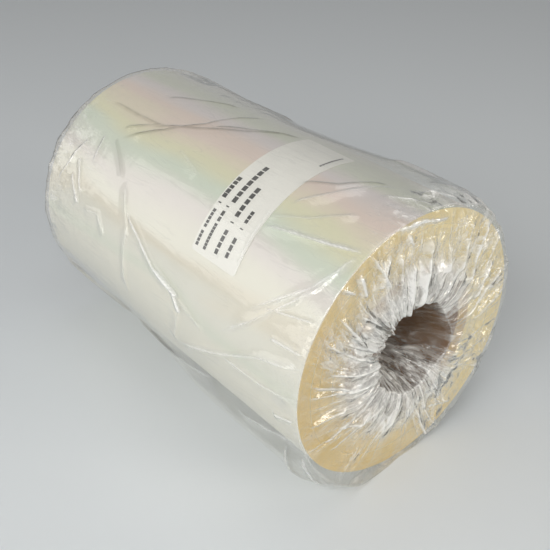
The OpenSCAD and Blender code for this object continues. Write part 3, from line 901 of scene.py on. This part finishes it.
def bent_patch(bm, sizes, u, v, width, length, lift, steps):
    """Adds a thin flat mark to the label: at u along and v round from its middle, width by length in mm."""
    made = bmesh.ops.create_grid(bm, x_segments=1, y_segments=steps, size=0.5)
    skew = math.radians(sizes.label_skew)
    for vert in made["verts"]:
        a = u + vert.co.x * width
        b = v + vert.co.y * length
        x = HALF_W - sizes.label_inset + a * math.cos(skew) + b * math.sin(skew)
        along = b * math.cos(skew) - a * math.sin(skew)
        turn = math.radians(90 + sizes.label_turn) + along / sizes.label_radius
        r = sizes.label_radius + lift
        vert.co = Vector((x, r * math.cos(turn), AXIS_H + r * math.sin(turn))) * MM


class FILMROLL_OT_film(bpy.types.Operator):
    """Gives the wound film its pearly laminate."""

    bl_idname = "filmroll.film"
    bl_label = "Wound film"

    def execute(self, context):
        scene = context.scene
        shade(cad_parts["film_roll"], lidding_film_material(scene.roll_colours))
        return {"FINISHED"}


class FILMROLL_OT_core(bpy.types.Operator):
    """Gives the core its spiral-wound card."""

    bl_idname = "filmroll.core"
    bl_label = "Card core"

    def execute(self, context):
        shade(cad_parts["core"], core_card_material(context.scene.roll_colours))
        return {"FINISHED"}


class FILMROLL_OT_label(bpy.types.Operator):
    """Gives the label its paper, and plain bars where print would stand."""

    bl_idname = "filmroll.label"
    bl_label = "Paper label"

    def execute(self, context):
        sizes = context.scene.roll_sizes
        colours = context.scene.roll_colours
        shade(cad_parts["label"], label_paper_material(colours))
        bm = bmesh.new()
        # rows of plain blocks: how far across the label, block height, and each run's start, end and blocks
        rows = [
            (-16.0, 2.2, ((47.4, 38.5, 4), (37.0, 25.3, 5), (21.8, 20.9, 1))),
            (-16.2, 3.1, ((18.1, 3.2, 5),)),
            (-9.4, 2.2, ((47.5, 32.0, 8), (31.2, 24.1, 2), (21.9, 21.0, 1))),
            (-8.0, 3.1, ((18.3, -10.0, 7),)),
            (-0.2, 2.6, ((46.8, 32.1, 4), (28.3, 27.4, 1))), (0.0, 3.0, ((24.6, 4.2, 5),)),
            (8.0, 2.4, ((46.0, 33.7, 3), (29.0, 28.1, 1), (25.2, 17.4, 3))),
            (13.6, 1.4, ((-27.0, -45.7, 9),)),
        ]
        for across, tall, runs in rows:
            for start, end, count in runs:
                pitch = (start - end) / count
                for k in range(count):
                    middle = start - (k + 0.5) * pitch
                    share = 0.72 + 0.2 * float(chance(k + 7 * count + start))
                    bent_patch(bm, sizes, across, middle, tall, pitch * share, 0.05, max(1, int(pitch * 0.6)))
        print_marks = new_piece(bm, "label_print", thermal_print_material(colours))
        return {"FINISHED"}


class FILMROLL_OT_wrap(bpy.types.Operator):
    """Makes the clear wrap: one sheet, tented, sagging, folded, pleated over the ends and tucked in."""

    bl_idname = "filmroll.wrap"
    bl_label = "Clear wrap"

    def execute(self, context):
        scene = context.scene
        points, flat, crease_highlight_and_shade, crumple, cuts = wrap_surface(scene.roll_sizes, scene.wrap_sizes)
        normals = sheet_normals(points)
        material = clear_wrap_material(scene.roll_colours)
        names = ("wrap_near_end", "wrap_body_near", "wrap_body_far", "wrap_far_end")
        for name, rows in zip(names, zip(cuts, cuts[1:])):
            piece = sheet_piece(name, rows, points, flat, crease_highlight_and_shade, crumple, normals, material)
            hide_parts("wrap")
        return {"FINISHED"}


# The camera: its place in metres, how far it looks down and is turned in degrees, and its lens in mm
CAMERA_PLACE = (0.3604, -0.2882, 0.3629)
CAMERA_DOWN, CAMERA_TURN = 33.23, 140.19 - 90
LENS, SENSOR = 57.19, 36

# The world's strength for rays that light the scene, and for rays that see it or mirror it
WORLD_STRENGTH = (0.2, 0.5)

# The lights: name, place and aim in metres, size, power in watts, and colour
LIGHTS = (
    ("front_softbox", (0.45, -1.05, 0.9), (0.03, 0, 0.08), (0.9, 0.6), 9.0, "#FFFFFF"),
    ("sheen_softbox", (-0.7, -1.15, 0.6), (0.04, 0, 0.08), (1.5, 0.9), 3.4, "#FFFFFF"),
    ("low_softbox", (-0.1, -1.3, 0.35), (0.04, 0, 0.08), (0.8, 0.4), 1.5, "#FFFFFF"),
    ("overhead_softbox", (0.0, 0.15, 1.4), (0, 0, 0.1), (1.1, 0.8), 3.0, "#FFFFFF"),
    ("side_softbox", (1.25, 0.45, 0.5), (0.1, 0, 0.08), (0.4, 0.5), 4.4, "#FFF8EC"),
    ("low_strip", (0.95, 0.75, 0.22), (0.12, 0, 0.08), (0.1, 0.35), 1.0, "#FFFFFF"),
    ("camera_strip", (0.95, -0.55, 0.75), (0.12, 0, 0.08), (0.12, 0.5), 1.3, "#FFFFFF"),
)


def area_light(name, place, aim, size, power, colour):
    """A softbox at a place in metres, aimed at a point."""
    light = bpy.data.lights.new(name, "AREA")
    light.shape = "RECTANGLE"
    light.size, light.size_y = size
    light.energy = power
    light.color = linear(colour)[:3]
    lamp = bpy.data.objects.new(name, light)
    lamp.location = place
    lamp.rotation_euler = (Vector(aim) - Vector(place)).to_track_quat("-Z", "Y").to_euler()
    bpy.context.scene.collection.objects.link(lamp)
    return lamp


class FILMROLL_OT_stage(bpy.types.Operator):
    """Sets the pale floor, the soft lights and the camera."""

    bl_idname = "filmroll.stage"
    bl_label = "Stage"

    def execute(self, context):
        scene = context.scene
        scene.view_settings.view_transform = "Standard"
        bm = bmesh.new()
        bmesh.ops.create_grid(bm, x_segments=1, y_segments=1, size=6)
        mesh = bpy.data.meshes.new("floor")
        bm.to_mesh(mesh)
        bm.free()
        floor = bpy.data.objects.new("floor", mesh)
        scene.collection.objects.link(floor)
        material, _ = new_material("floor_satin_pale")
        shade(floor, finished(material, Base_Color=scene.roll_colours.floor, Roughness=0.28, IOR=1.45))

        world = bpy.data.worlds.new("studio")
        scene.world = world
        world.use_nodes = True
        background = world.node_tree.nodes["Background"]
        background.inputs["Color"].default_value = linear("#EDEEEE")
        tree = world.node_tree
        ray = add_node(tree, "ShaderNodeLightPath").outputs
        seen = maths(tree, "MAXIMUM", ray["Is Glossy Ray"], ray["Is Camera Ray"])
        tree.links.new(remap(tree, seen, 0.0, 1.0, *WORLD_STRENGTH), background.inputs["Strength"])
        for light in LIGHTS:
            area_light(*light)

        lens = bpy.data.cameras.new("camera")
        lens.sensor_width = SENSOR
        lens.lens = LENS
        camera = bpy.data.objects.new("camera", lens)
        camera.location = CAMERA_PLACE
        camera.rotation_euler = (math.radians(90 - CAMERA_DOWN), 0, math.radians(CAMERA_TURN))
        scene.collection.objects.link(camera)
        scene.camera = camera
        return {"FINISHED"}


class FILMROLL_PT_panel(bpy.types.Panel):
    """The roll's tools and values in the sidebar."""

    bl_idname = "FILMROLL_PT_panel"
    bl_label = "Film Roll"
    bl_space_type = "VIEW_3D"
    bl_region_type = "UI"
    bl_category = "Film Roll"

    def draw(self, context):
        for operator in OPERATORS:
            self.layout.operator(operator.bl_idname)
        for group in (context.scene.roll_sizes, context.scene.wrap_sizes, context.scene.roll_colours):
            box = self.layout.box()
            for name in group.__annotations__:
                box.prop(group, name)


GROUPS = {"roll_sizes": RollSizes, "wrap_sizes": WrapSizes, "roll_colours": RollColours}
OPERATORS = (FILMROLL_OT_film, FILMROLL_OT_core, FILMROLL_OT_label, FILMROLL_OT_wrap, FILMROLL_OT_stage)


def register():
    for cls in (*GROUPS.values(), *OPERATORS, FILMROLL_PT_panel):
        bpy.utils.register_class(cls)
    for name, group in GROUPS.items():
        setattr(bpy.types.Scene, name, PointerProperty(type=group))


def unregister():
    for name in GROUPS:
        delattr(bpy.types.Scene, name)
    for cls in (FILMROLL_PT_panel, *reversed(OPERATORS), *reversed(GROUPS.values())):
        bpy.utils.unregister_class(cls)


def main():
    register()
    bpy.ops.filmroll.film()
    bpy.ops.filmroll.core()
    bpy.ops.filmroll.label()
    bpy.ops.filmroll.wrap()
    bpy.ops.filmroll.stage()


if __name__ == "__main__":
    main()
